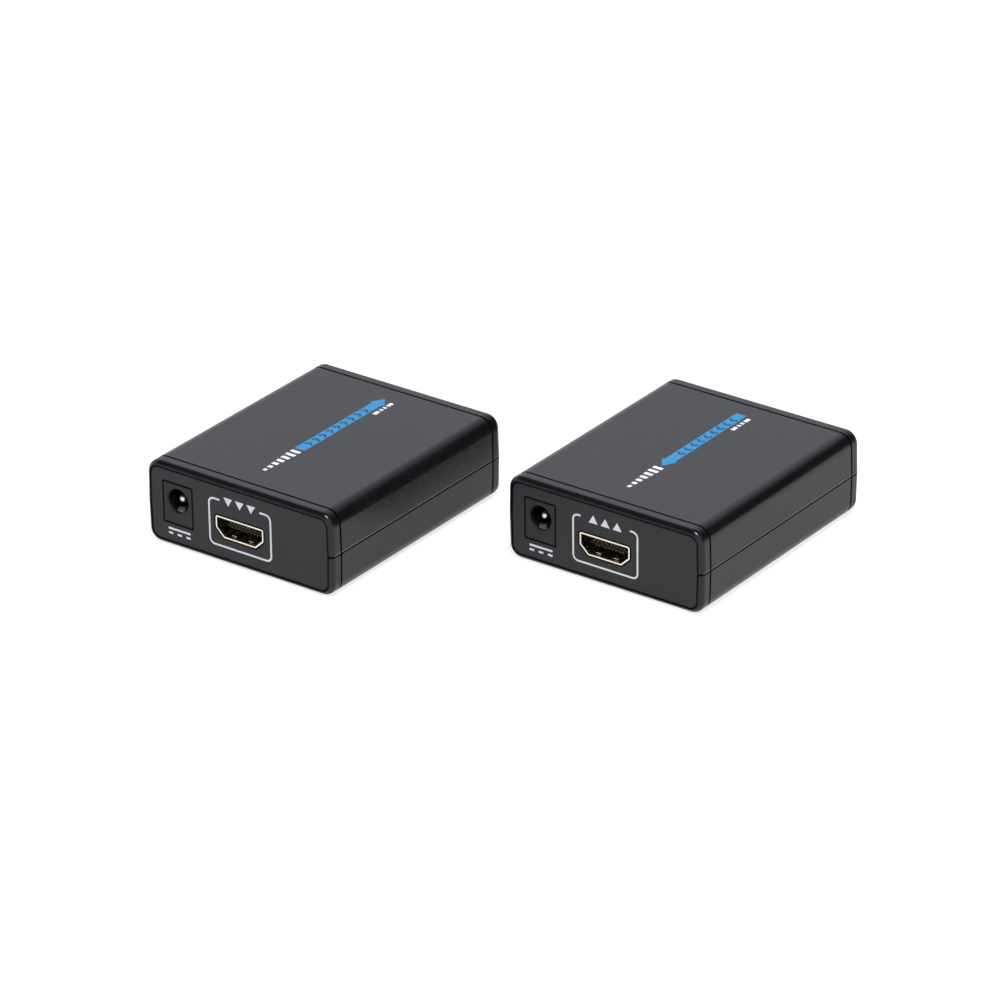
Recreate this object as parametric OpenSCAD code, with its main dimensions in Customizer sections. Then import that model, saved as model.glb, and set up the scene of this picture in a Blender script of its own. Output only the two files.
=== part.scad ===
// Video link extender, a pair of small desktop boxes: a sender and a receiver.
// Each box is two moulded shells with end panels, a circuit board and its sockets.
// Millimetres. Origin on the table, at the middle of the pair. Front faces look along -Y.

/* [Pair] */
// Receiver's place to the right of the sender, centre to centre
receiver_right = 79.6; // [72:0.1:120]
// Receiver's place behind the sender, centre to centre
receiver_back = 44.1; // [0:0.1:80]

/* [Case] */
// Width across the parting line
case_w = 58.6; // [56:0.1:70]
// Depth from front rim to rear rim
case_d = 70.8; // [68:0.1:90]
// Height of the closed case
case_h = 22.6; // [22.2:0.1:30]
// Height of the parting line between the shells
parting_z = 11.25; // [9:0.05:13]
// Draft of the side walls, in degrees
side_draft = 1.4; // [0.2:0.1:3]
// Radius of the four long corners
corner_r = 3.6; // [2.8:0.1:5]
// Radius round the front and rear edges
edge_r = 1.8; // [1.4:0.1:2.4]
// Thickness of the moulded walls
wall = 1.6; // [1.4:0.1:1.8]
// Width of the rim that frames each end panel
rim_w = 1.3; // [1.25:0.05:1.35]
// Distance of the decorative groove's middle from the end
groove_at = 3.8; // [3:0.1:8]
// Width of the decorative groove
groove_w = 0.45; // [0.2:0.05:0.8]
// Depth of the decorative groove
groove_deep = 0.55; // [0.1:0.05:0.7]
// Half height of the shadow gap along the parting line, cut from each shell
shadow_half = 0.15; // [0.05:0.01:0.3]
// Depth of the shadow gap
shadow_deep = 0.4; // [0.1:0.05:0.5]
// Thickness of the lower shell's locating tongue
tongue_t = 0.7; // [0.5:0.05:0.8]
// Height of the locating tongue above the parting line
tongue_h = 1.2; // [0.6:0.1:2]

/* [End panels] */
// Depth of the panel's face behind the rim
panel_recess = 0.2; // [0.1:0.05:0.8]
// Thickness of the panel
panel_t = 2; // [1.6:0.1:2.4]
// Thickness of the flange that sits in the slot
flange_t = 1; // [0.6:0.1:1.2]
// Reach of the flange beyond the panel's face
flange_out = 0.9; // [0.6:0.05:0.95]
// Gap all round the panel
panel_gap = 0.2; // [0.1:0.05:0.3]
// Gap round the flange in its slot, and round the locating tongue
slot_gap = 0.1; // [0.05:0.01:0.15]
// Reach of the slot's back rib from the case's outside
rib_reach = 2.3; // [2:0.05:2.4]
// Thickness of the slot's back rib
rib_t = 1.2; // [0.8:0.1:1.6]

/* [Case screws] */
// Distance of the screws from the case's sides
screw_side = 6.3; // [5.9:0.1:7]
// Distance of the two front screws from the front
screw_front = 19.2; // [18.8:0.1:24]
// Distance of the two rear screws from the rear
screw_rear = 10; // [8.6:0.1:16]
// Diameter of the screw's shank
screw_d = 2.6; // [2:0.1:3]
// Length of the screw's shank
screw_len = 13; // [8:0.5:15]
// Diameter of the screw's head
screw_head_d = 4.6; // [3.8:0.1:4.8]
// Height of the screw's head
screw_head_h = 1.7; // [1:0.1:2]
// Depth of the cross recess in the head
screw_cross = 0.9; // [0.4:0.1:1]
// Length of an arm of the cross recess, tip to tip
screw_cross_len = 2.6; // [2:0.1:3.2]
// Width of an arm of the cross recess
screw_cross_w = 0.6; // [0.4:0.05:0.8]
// Length of the screw's tapered tip
screw_tip_len = 1.3; // [0.8:0.1:2]
// Diameter at the end of the screw's tip
screw_tip_d = 0.9; // [0.6:0.1:1.2]
// Room beyond the screw's tip
screw_end_room = 0.9; // [0.5:0.1:1.5]
// Depth of the screw hole's wide mouth in the base
screw_sunk = 2.4; // [2:0.1:3]
// Gap round the screw's head
screw_head_gap = 0.3; // [0.2:0.05:0.4]
// Gap round the shank in the lower shell and the board
screw_gap = 0.2; // [0.1:0.05:0.4]
// Gap round the shank in the upper shell's post
screw_bite_gap = 0.03; // [0.02:0.01:0.08]
// Wall of the lower posts
post_low_wall = 0.9; // [0.7:0.1:1.2]
// Diameter of the upper posts
post_top_d = 5.6; // [4.6:0.1:6.6]

/* [Board] */
// Height of the board's upper face
board_z = 6.7; // [6.2:0.1:6.8]
// Thickness of the board
board_t = 1.6; // [1:0.1:1.8]
// Distance of the board's edges from the case's sides
board_side = 2.5; // [2.3:0.1:2.8]
// Distance of the board's edges from the case's ends
board_end = 4; // [3.7:0.1:4.4]
// Gap round each leg that passes through the board
leg_gap = 0.2; // [0.1:0.05:0.3]
// Length of a leg below the board
leg_under = 0.8; // [0.3:0.1:1.5]

/* [Power jack] */
// Distance of the jack's middle from the case's left side
jack_side = 10; // [9.7:0.1:11]
// Width of the jack's housing
jack_w = 9; // [8.6:0.1:9.4]
// Depth of the jack's housing
jack_d = 14.4; // [13.8:0.1:14.8]
// Depth of the square front block
jack_block_d = 3.5; // [2:0.1:6]
// Height of the jack's bore above the board
jack_axis_h = 6.5; // [6.3:0.1:6.8]
// Diameter of the bore
jack_bore_d = 6.3; // [6:0.1:6.6]
// Depth of the bore
jack_bore_deep = 9.6; // [9.2:0.1:10]
// Bevel at the mouth of the bore
jack_bevel = 0.3; // [0.1:0.05:0.5]
// Gap of the panel's cut-out beside the jack
jack_side_gap = 0.25; // [0.1:0.05:0.3]
// Gap of the panel's cut-out above and below the jack
jack_end_gap = 0.3; // [0.1:0.05:0.4]
// Corner radius of the jack's cut-out
jack_cut_r = 0.4; // [0.2:0.05:0.8]
// Diameter of the centre pin
pin_d = 2; // [1.6:0.1:2.4]
// Distance of the pin's tip behind the jack's face
pin_tip_in = 1.3; // [1:0.1:3]
// Diameter of the pin's thick root behind the bore
pin_root_d = 2.6; // [2.5:0.1:3]
// Gap round the pin's root
pin_root_gap = 0.05; // [0.02:0.01:0.1]
// Width of the spring leaf and of the terminals
leaf_w = 2.2; // [1.6:0.1:2.4]
// Thickness of the spring leaf
leaf_t = 0.26; // [0.2:0.02:0.3]
// Distance of the leaf's root behind the jack's face
leaf_root_in = 8; // [7.6:0.1:8.2]
// Distance of the leaf's root below the bore's axis
leaf_root_down = 4.6; // [4.5:0.05:4.7]
// Radius of the roll at the leaf's root
leaf_roll_r = 0.4; // [0.3:0.02:0.42]
// Gap round the roll
leaf_roll_gap = 0.05; // [0.03:0.01:0.08]
// Distance of the leaf's crest behind the jack's face
leaf_crest_in = 1.8; // [1.6:0.1:3]
// Distance of the leaf's crest below the bore's axis
leaf_crest_down = 2.5; // [2.4:0.05:2.7]
// Distance of the leaf's tip behind the jack's face
leaf_tip_in = 1; // [0.9:0.1:1.2]
// Distance of the leaf's tip below the bore's axis
leaf_tip_down = 3.2; // [3.1:0.05:3.5]
// Height of the top of the leaf's slot, measured down from the bore's axis
leaf_slot_down = 1.6; // [1.2:0.1:2.2]
// Thickness of the jack's terminals
terminal_t = 0.4; // [0.3:0.05:0.5]
// Wall under the leaf's round seat
seat_wall = 0.1; // [0.06:0.02:0.12]
// Width of the switch terminal
switch_w = 1.2; // [0.8:0.1:1.6]
// Distance of the switch terminal behind the jack's face
switch_in = 5.2; // [4.8:0.1:5.6]
// Distance of the switch terminal's leg from the jack's middle
switch_right = 2.9; // [2.7:0.1:3.1]
// Overlap of the switch terminal's tab over the leaf
switch_over = 0.5; // [0.3:0.05:0.7]
// Thickness of the switch terminal's tab
switch_tab_t = 0.2; // [0.15:0.05:0.3]
// Gap between the resting leaf and the tab above it
switch_rest_gap = 0.07; // [0.04:0.01:0.12]
// Gap round metal parts in the jack
jack_part_gap = 0.2; // [0.1:0.05:0.25]

/* [Video socket] */
// Middle of the socket to the right of the case's middle
video_right = 0.2; // [-1:0.1:2]
// Width outside the socket's shell
video_w = 15; // [14.5:0.1:15.4]
// Height outside the socket's shell
video_h = 5.75; // [5.6:0.05:5.9]
// Height of the upright part of each side
video_side_h = 3.4; // [3:0.1:3.6]
// Width of each sloping lower corner
video_slope_w = 2.45; // [2.2:0.05:2.6]
// Outside radius of the shell's bends
video_bend_r = 0.6; // [0.5:0.05:0.8]
// Thickness of the shell
video_shell_t = 0.4; // [0.3:0.02:0.44]
// Depth of the shell
video_d = 11.4; // [11:0.1:12]
// Height of the shell above the board
video_stand = 0.45; // [0.4:0.05:0.6]
// Gap of the panel's cut-out round the shell
video_gap = 0.32; // [0.2:0.02:0.4]
// Gap between the shell, the contact block and the contacts
video_fit_gap = 0.05; // [0.02:0.01:0.08]
// Distance of the first pair of legs behind the shell's edge
video_leg_in = 5.4; // [4.8:0.1:5.8]
// Distance between the two pairs of legs
video_leg_step = 4.2; // [3.6:0.1:4.6]
// Width of a leg
video_leg_w = 1.4; // [1:0.1:1.6]
// Distance of the contact tongue behind the shell's edge
video_tongue_in = 1.9; // [1.4:0.1:2.6]
// Width of the contact tongue
video_tongue_w = 11.2; // [10.8:0.1:11.6]
// Thickness of the contact tongue
video_tongue_t = 0.9; // [0.7:0.05:1.2]
// Distance of the contact block behind the shell's edge
video_block_in = 7.4; // [7:0.1:8]
// Number of contacts in the upper row, one more than in the lower row
video_upper_count = 10; // [8:1:10]
// Pitch of the contacts in a row
video_pitch = 1; // [0.9:0.05:1.05]
// Width of a contact
video_contact_w = 0.3; // [0.2:0.02:0.34]
// Thickness of a contact
video_contact_t = 0.15; // [0.1:0.01:0.2]
// Distance behind the block at which the contacts drop to the board
video_drop_gap = 0.3; // [0.2:0.05:0.5]
// Length of a contact's foot on the board
video_foot_len = 0.9; // [0.6:0.1:1.2]
// Distance of the spring fingers' free ends behind the shell's edge
finger_in = 1.2; // [0.9:0.1:1.8]
// Distance between the middles of two spring fingers
finger_spread = 5.3; // [4.4:0.1:6]
// Width of a spring finger
finger_w = 1.4; // [1:0.1:1.8]
// Length of a spring finger
finger_len = 4; // [3:0.1:4.4]
// Slit beside a spring finger
finger_slit = 0.35; // [0.2:0.05:0.5]
// How far a spring finger leans into the socket
finger_lean = 0.3; // [0.1:0.05:0.4]

/* [Network socket] */
// Width outside the socket's shield
net_w = 16; // [15.8:0.1:16.4]
// Height of the shield above the board
net_h = 13.4; // [13.3:0.05:13.5]
// Depth of the shield
net_d = 18; // [17.8:0.1:19]
// Thickness of the shield
net_shield_t = 0.25; // [0.2:0.05:0.3]
// Depth of the plastic housing
net_house_d = 14.9; // [14.7:0.1:15.2]
// Gap between shield and housing
net_gap = 0.05; // [0.02:0.01:0.08]
// Gap of the panel's cut-out round the shield
net_cut_gap = 0.2; // [0.1:0.05:0.25]
// Width of the plug's way in
plug_w = 11.9; // [11.7:0.1:12.2]
// Height of the plug's way in, without the latch
plug_h = 6.9; // [6.8:0.1:7]
// Depth of the plug's way in
plug_deep = 13; // [12.6:0.1:13.4]
// Height of the plug's way in above the board
plug_z = 4.2; // [4.1:0.05:4.3]
// Width of the latch's channel
latch_w = 6.4; // [6.2:0.1:6.8]
// Height of the latch's channel
latch_h = 2.4; // [2.2:0.1:2.5]
// Number of contact wires
wire_count = 8; // [6:2:8]
// Pitch of the contact wires
wire_pitch = 1.02; // [0.98:0.01:1.1]
// Width of a contact wire
wire_w = 0.4; // [0.3:0.02:0.44]
// Thickness of a contact wire
wire_t = 0.3; // [0.2:0.02:0.34]
// Gap beside each wire in its slot
wire_gap = 0.1; // [0.06:0.01:0.14]
// Distance of the wires' fold behind the socket's face
wire_fold_in = 2.4; // [2.2:0.1:2.8]
// Height of the wires' fold above the plug's way in
wire_fold_up = 0.5; // [0.45:0.01:0.55]
// Radius of the roll at the fold
wire_roll_r = 0.3; // [0.24:0.02:0.34]
// Gap between the roll and its seat
wire_roll_gap = 0.05; // [0.03:0.01:0.08]
// Length of the slot that a wire folds down through
wire_slot_len = 4.8; // [4.4:0.1:5.2]
// Distance of the first row of leads behind the housing
lead_row_gap = 0.3; // [0.2:0.05:0.5]
// Distance between the two rows of leads
lead_row_step = 1.2; // [1:0.1:1.3]
// Distance of the shield's legs behind the socket's face
net_leg_in = 8.4; // [7.4:0.1:9.4]
// Width of the shield's legs
net_leg_w = 1.6; // [1.2:0.1:2]
// Distance of the wires' free end behind the socket's face
wire_end_in = 10.8; // [10:0.1:11.4]
// Depth of the wires' free end below the top of the plug's way in
wire_end_down = 4.1; // [3.6:0.1:4.2]
// Width of each lamp
lamp_w = 2.4; // [2:0.1:2.5]
// Height of each lamp
lamp_h = 2.2; // [1.8:0.1:2.5]
// Distance of each lamp from the shield's side
lamp_side = 0.8; // [0.6:0.05:1]
// Height of the lamps above the board
lamp_z = 0.9; // [0.7:0.05:1.2]
// Depth of the lamps
lamp_d = 13.6; // [12:0.1:14.2]

/* [Board parts] */
// Link chip's place to the left of the case's middle
link_chip_left = 4; // [3.5:0.5:4.5]
// Distance of the link chip's middle from the rear rim
link_chip_rear = 27.2; // [27.2:0.2:28]
// Width of the link chip's body
chip_w = 14; // [12:0.5:16]
// Height of the link chip's body
chip_h = 1.4; // [1:0.1:1.6]
// Number of leads on each side of the link chip
chip_leads = 12; // [8:1:14]
// Pitch of the leads of the link and memory chips
chip_pitch = 0.9; // [0.65:0.05:1]
// Distance of the video chip's middle from the front rim
video_chip_in = 18; // [17.5:0.5:19]
// Length of the video chip's body
video_chip_len = 9.7; // [8:0.1:10.5]
// Width of the video chip's body
video_chip_w = 4.4; // [4:0.1:5]
// Number of leads on each side of the video chip
video_chip_leads = 12; // [8:1:14]
// Pitch of the video chip's leads
video_chip_pitch = 0.65; // [0.5:0.05:0.7]
// Height of the small chips' bodies
small_chip_h = 1; // [0.8:0.1:1.5]
// Distance of the memory chip's middle from the case's right side
memory_side = 14.8; // [13.8:0.5:15.8]
// Distance of the memory chip's middle from the front rim
memory_in = 15.5; // [14.5:0.5:16.5]
// Length of the memory chip's body
memory_len = 4.9; // [4.4:0.1:5.4]
// Width of the memory chip's body
memory_w = 3.9; // [3.5:0.1:4.4]
// Number of leads on each side of the memory chip
memory_leads = 4; // [3:1:4]
// Width of a chip's lead
lead_w = 0.32; // [0.22:0.02:0.36]
// Thickness of a chip's lead
lead_t = 0.18; // [0.12:0.02:0.24]
// Reach of a chip's lead beyond its body
lead_reach = 1; // [0.9:0.05:1.2]
// Length of the flat foot at the end of a lead
lead_foot = 0.5; // [0.4:0.05:0.6]
// Length over which a lead steps down to its foot
lead_step = 0.1; // [0.05:0.05:0.2]
// Distance of the crystal's middle from the case's right side
crystal_side = 13.8; // [12.8:0.5:14.3]
// Distance of the crystal's middle from the rear rim
crystal_rear = 24.5; // [24.5:0.5:27]
// Length of the crystal's can
crystal_len = 11; // [9:0.1:12]
// Width of the crystal's can
crystal_w = 4.6; // [4:0.1:5]
// Height of the crystal's can
crystal_h = 3.6; // [2.5:0.1:5]
// Width of the rim round the crystal's foot
crystal_rim = 0.4; // [0.2:0.05:0.6]
// Thickness of that rim
crystal_rim_t = 0.4; // [0.3:0.05:0.6]
// Distance of the regulator's middle from the case's left side
regulator_side = 16.2; // [15.2:0.5:16.7]
// Distance of the regulator's middle from the front rim
regulator_in = 19.2; // [19.2:0.5:20.2]
// Width of the regulator's body
regulator_w = 6.5; // [6:0.1:7]
// Depth of the regulator's body
regulator_d = 3.5; // [3:0.1:4]
// Height of the regulator's body
regulator_h = 1.6; // [1.2:0.1:2]
// Width of each of the regulator's three legs
regulator_leg_w = 0.7; // [0.5:0.05:0.9]
// Pitch of the three legs
regulator_pitch = 2.3; // [2:0.05:2.5]
// Width of the wide leg on the other side
regulator_tab_w = 3.2; // [2.6:0.1:3.6]
// Length of the legs
regulator_leg_len = 1.7; // [1.2:0.1:2]
// Thickness of the legs
regulator_leg_t = 0.3; // [0.2:0.05:0.4]
// Distance of the inductor's side from the board's edge
inductor_edge = 1; // [0.5:0.5:2]
// Distance of the inductor's middle from the rear rim
inductor_rear = 31.9; // [31.9:0.5:34]
// Width of the inductor
inductor_w = 7.3; // [6:0.1:7.6]
// Corner radius of the inductor's block
inductor_r = 1.4; // [0.8:0.1:2]
// Height of the inductor's block
inductor_block_h = 2.9; // [2:0.1:3.2]
// Diameter of the inductor's round top
inductor_top_d = 6; // [5:0.1:6]
// Height of the inductor
inductor_h = 3.6; // [2.5:0.1:5]
// Distance of each capacitor's base from the board's edge
can_edge = 1.4; // [0.8:0.2:2]
// Distance of the right capacitor's middle from the front rim
can_in = 26; // [26:0.5:28]
// Distance of the left capacitor's middle from the rear rim
can_rear = 21.9; // [20:0.5:22.9]
// Diameter of a filter capacitor's can
can_d = 6.3; // [5:0.1:6.6]
// Height of a filter capacitor
can_h = 5.7; // [4:0.1:8]
// Height of a capacitor's square base
can_base_h = 0.8; // [0.5:0.1:1.2]
// Reach of the square base beyond the can
can_base_over = 0.1; // [0:0.05:0.2]
// Length of a small two-ended part
bit_len = 1.6; // [1.2:0.1:2]
// Width of a small two-ended part
bit_w = 0.8; // [0.6:0.05:1]
// Height of a small two-ended part
bit_h = 0.6; // [0.4:0.05:0.9]
// Pitch of the small parts in their rows
bit_pitch = 2; // [1.6:0.1:2]
// Space between a large part and the row of small parts beside it
bit_space = 0.4; // [0.3:0.05:0.45]

/* [Hidden] */
$fn = 48;
// Overshoot of cutting shapes
cut = 1;

UNITS = ["sender", "receiver"];
PARTS = [
    "top_shell", "bottom_shell", "front_panel", "rear_panel", "case_screws", "circuit_board",
    "power_jack_housing", "power_jack_pin", "power_jack_terminals", "power_jack_spring",
    "video_socket_shell", "video_socket_insulator", "video_socket_contacts",
    "network_socket_shield", "network_socket_housing", "network_socket_leads",
    "network_socket_contacts", "network_socket_lamps",
    "link_chip", "video_chip", "memory_chip", "crystal", "voltage_regulator",
    "power_inductor", "filter_capacitors", "small_parts"
];

// Case
front_y = -case_d / 2;
top_rise = case_h - parting_z;
slot_front = panel_recess + panel_t - flange_t - slot_gap;
slot_back = panel_recess + panel_t + slot_gap / 2;
slot_floor = rim_w + panel_gap - flange_out - slot_gap;
rib_back = slot_back + rib_t;
// Middle of the edge's arc, measured in from the end, for an arc that ends at the rim's inner side
edge_in = sqrt(pow(edge_r, 2) - pow(edge_r - rim_w, 2));
roof_z = case_h - wall;
tongue_from = rib_back + slot_gap;
screw_x = case_w / 2 - screw_side;
screw_places = [
    for (side = [-1, 1])
        for (y = [front_y + screw_front, -front_y - screw_rear]) [side * screw_x, y]
];
post_low_d = screw_head_d + 2 * screw_head_gap + 2 * post_low_wall;

// Sockets, with the front face of each at the panel's face
face_y = front_y + panel_recess;
board_w = case_w - 2 * board_side;
board_under = board_z - board_t;
leg_end = board_under - leg_under;
jack_left = case_w / 2 - jack_side;
jack_axis_z = board_z + jack_axis_h;
video_z = board_z + video_stand + video_h / 2;
video_tongue_z = video_z;
video_back = face_y + video_d;
video_leg_y = [face_y + video_leg_in, face_y + video_leg_in + video_leg_step];
jack_h = jack_axis_h + jack_w / 2;
pin_leg_y = face_y + jack_d;
leaf_root = [face_y + leaf_root_in, jack_axis_z - leaf_root_down];
leaf_crest = [face_y + leaf_crest_in, jack_axis_z - leaf_crest_down];
leaf_tip = [face_y + leaf_tip_in, jack_axis_z - leaf_tip_down];
terminal_y = leaf_root[0] + leaf_roll_r;
switch_y = face_y + switch_in;
wire_fold = [face_y + wire_fold_in, board_z + plug_z + plug_h + wire_fold_up];
wire_end = [face_y + wire_end_in, board_z + plug_z + plug_h - wire_end_down];
wire_x = [for (i = [0:wire_count - 1]) (i - (wire_count - 1) / 2) * wire_pitch];
lead_run_z = wire_fold[1] + wire_roll_r + wire_roll_gap;
lead_drop_y = [for (i = [0:wire_count - 1]) face_y + net_house_d + lead_row_gap + (i % 2) * lead_row_step];
net_leg_y = face_y + net_leg_in;
plug_low = board_z + plug_z;
lamp_x = net_w / 2 - lamp_side - lamp_w / 2;

// Places of the board's parts
link_chip_at = [-link_chip_left, -front_y - link_chip_rear];
video_chip_at = [video_right, front_y + video_chip_in];
memory_at = [case_w / 2 - memory_side, front_y + memory_in];
crystal_at = [case_w / 2 - crystal_side, -front_y - crystal_rear];
regulator_at = [regulator_side - case_w / 2, front_y + regulator_in];
inductor_at = [inductor_edge + (inductor_w - board_w) / 2, -front_y - inductor_rear];
can_base_w = can_d + 2 * can_base_over;
can_x = (board_w - can_base_w) / 2 - can_edge;
can_places = [[can_x, front_y + can_in], [-can_x, -front_y - can_rear]];

// Rows of small parts: the row's middle, and the number of parts in it
bit_off = bit_space + bit_len / 2;
small_rows = [
    [video_chip_at + [0, video_chip_w / 2 + lead_reach + bit_off], 5],
    [memory_at + [0, memory_w / 2 + lead_reach + bit_off], 4],
    [crystal_at + [0, crystal_w / 2 + crystal_rim + bit_off], 5],
    [crystal_at - [crystal_len / 2, crystal_w / 2 + crystal_rim + bit_off], 3]
];

// Shapes shared by several parts

// The unit's own frame, moved to its place in the pair
module at_unit(unit) {
    side = unit == "sender" ? -1 : 1;
    translate([side * receiver_right / 2, side * receiver_back / 2, 0])
        children();
}

// An upright outline, x and z, made solid from y_from back to y_to
module along_y(y_from, y_to) {
    translate([0, y_to, 0])
        rotate([90, 0, 0])
            linear_extrude(y_to - y_from)
                children();
}

// A side outline, y and z, made solid to half its width each side of x = 0
module across_x(width) {
    rotate([90, 0, 90])
        linear_extrude(width, center = true)
            children();
}

// The rear end's frame, turned so that its parts are drawn as at the front
module at_rear() {
    rotate([0, 0, 180])
        children();
}

module rounded_square(w, h, r) {
    square([w - 2 * r, h], center = true);
    square([w, h - 2 * r], center = true);
    for (sx = [-1, 1], sy = [-1, 1])
        translate([sx * (w / 2 - r), sy * (h / 2 - r)])
            circle(r = r);
}

// Middle of the long corner's arc, from the parting line's middle
function arc_z(rise) = rise - corner_r;
function arc_x(rise) = case_w / 2 - arc_z(rise) * tan(side_draft) - corner_r;

// Half of the case's cross section, from the parting line up, drawn in by inset
module half_section(rise, inset) {
    r = corner_r - inset;
    x = arc_x(rise);
    z = arc_z(rise);
    for (side = [0, 1])
        mirror([side, 0]) {
            polygon([
                [0, 0],
                [case_w / 2 - inset, 0],
                [x + r, z],
                [x, z],
                [x, rise - inset],
                [0, rise - inset]
            ]);
            translate([x, z])
                circle(r = r);
        }
}

// The whole cross section, standing on the table
module case_section(inset) {
    translate([0, parting_z]) {
        half_section(top_rise, inset);
        mirror([0, 1])
            half_section(parting_z, inset);
    }
}

// Case shells

// Repeats a stretch of the wall's long section at both ends
module both_ends() {
    children();
    translate([0, case_d])
        mirror([0, 1])
            children();
}

// The wall cut along the case: x runs in from the outside, y from front to rear
module wall_profile() {
    difference() {
        union() {
            translate([0, edge_in])
                square([wall, case_d - 2 * edge_in]);
            both_ends() {
                // The end's outer edge: an arc from the outside to the rim's inner side
                intersection() {
                    translate([edge_r, edge_in])
                        circle(r = edge_r);
                    square([rim_w, edge_in]);
                }
                translate([0, slot_back])
                    square([rib_reach, rib_t]);
            }
        }
        both_ends() {
            translate([rim_w, -cut])
                square([rib_reach, slot_front + cut]);
            translate([slot_floor, slot_front])
                square([rib_reach, slot_back - slot_front]);
            translate([-cut, groove_at - groove_w / 2])
                square([cut + groove_deep, groove_w]);
        }
    }
}

// The wall carried over the middle, both corners and both leaning sides, above z = 0
module half_wall(rise) {
    lean = tan(side_draft);
    translate([-arc_x(rise), front_y, rise])
        rotate([0, 90, 0])
            linear_extrude(2 * arc_x(rise))
                wall_profile();
    for (side = [0, 1])
        mirror([side, 0, 0])
            translate([arc_x(rise), front_y, arc_z(rise)]) {
                rotate([-90, 0, 0])
                    rotate_extrude(angle = 90, start = -90)
                        translate([corner_r, 0])
                            mirror([1, 0])
                                wall_profile();
                multmatrix([[1, 0, -lean, corner_r], [0, 1, 0, 0], [0, 0, 1, 0], [0, 0, 0, 1]])
                    rotate([0, 180, 0])
                        linear_extrude(arc_z(rise))
                            wall_profile();
            }
}

// The step cut round a shell's edge for the shadow gap
module shadow_step() {
    linear_extrude(shadow_half)
        difference() {
            square([case_w + 2 * cut, case_d + 2 * cut], center = true);
            rounded_square(case_w - 2 * shadow_deep, case_d - 2 * shadow_deep, edge_r - shadow_deep);
        }
}

module top_shell() {
    tongue_room = tongue_t + slot_gap;
    bite_end = screw_sunk + screw_len + screw_end_room;
    color("#232427")
        difference() {
            union() {
                translate([0, 0, parting_z])
                    half_wall(top_rise);
                for (p = screw_places)
                    translate([p[0], p[1], board_z])
                        cylinder(d = post_top_d, h = roof_z + wall / 2 - board_z);
            }
            translate([0, 0, parting_z])
                shadow_step();
            // Room for the lower shell's tongue
            for (side = [0, 1])
                mirror([side, 0, 0])
                    translate([case_w / 2 - wall - cut, front_y + rib_back, parting_z - cut])
                        cube([tongue_room + cut, case_d - 2 * rib_back, tongue_h + slot_gap + cut]);
            for (p = screw_places)
                translate([p[0], p[1], board_z - cut])
                    cylinder(d = screw_d + 2 * screw_bite_gap, h = bite_end - board_z + cut);
        }
}

module bottom_shell() {
    color("#202124")
        difference() {
            union() {
                translate([0, 0, parting_z])
                    mirror([0, 0, 1])
                        half_wall(parting_z);
                for (p = screw_places)
                    translate([p[0], p[1], wall / 2])
                        cylinder(d = post_low_d, h = board_under - wall / 2);
                // Locating tongue, rooted in the side wall below the parting line
                for (side = [0, 1])
                    mirror([side, 0, 0])
                        translate([case_w / 2 - wall, front_y + tongue_from, parting_z - tongue_h])
                            cube([tongue_t, case_d - 2 * tongue_from, 2 * tongue_h]);
            }
            translate([0, 0, parting_z])
                mirror([0, 0, 1])
                    shadow_step();
            for (p = screw_places)
                translate([p[0], p[1], -cut]) {
                    cylinder(d = screw_head_d + 2 * screw_head_gap, h = screw_sunk + cut);
                    cylinder(d = screw_d + 2 * screw_gap, h = board_under + 2 * cut);
                }
        }
}

// An end panel: its face fills the rim and its flange sits in the slot
module panel_blank() {
    back = face_y + panel_t;
    along_y(face_y, back)
        case_section(rim_w + panel_gap);
    along_y(back - flange_t, back)
        case_section(slot_floor + slot_gap);
}

module front_panel() {
    color("#34363a")
        difference() {
            panel_blank();
            along_y(face_y - cut, face_y + panel_t + cut) {
                translate([-jack_left, board_z + jack_h / 2])
                    rounded_square(jack_w + 2 * jack_side_gap, jack_h + 2 * jack_end_gap, jack_cut_r);
                translate([video_right, video_z])
                    video_outline(video_gap);
            }
        }
}

module rear_panel() {
    color("#34363a")
        at_rear()
            difference() {
                panel_blank();
                along_y(face_y - cut, face_y + panel_t + cut)
                    translate([0, board_z + net_h / 2])
                        square([net_w + 2 * net_cut_gap, net_h + 2 * net_cut_gap], center = true);
            }
}

module case_screws() {
    head_z = screw_sunk - screw_head_h;
    shank_end = screw_sunk + screw_len - screw_tip_len;
    color("#9a9ca0")
        for (p = screw_places)
            translate([p[0], p[1], 0])
                difference() {
                    union() {
                        translate([0, 0, head_z])
                            cylinder(d = screw_head_d, h = screw_head_h);
                        translate([0, 0, screw_sunk - screw_cross / 2])
                            cylinder(d = screw_d, h = shank_end - screw_sunk + screw_cross / 2);
                        translate([0, 0, shank_end])
                            cylinder(d1 = screw_d, d2 = screw_tip_d, h = screw_tip_len);
                    }
                    for (turn = [0, 90])
                        rotate([0, 0, turn])
                            translate([-screw_cross_len / 2, -screw_cross_w / 2, head_z - cut])
                                cube([screw_cross_len, screw_cross_w, screw_cross + cut]);
                }
}

// Circuit board

// A slot through the board for a leg, with its middle at x, y
module leg_slot(x, y, w, d) {
    translate([x - w / 2 - leg_gap, y - d / 2 - leg_gap, board_under - cut])
        cube([w + 2 * leg_gap, d + 2 * leg_gap, board_t + 2 * cut]);
}

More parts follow.
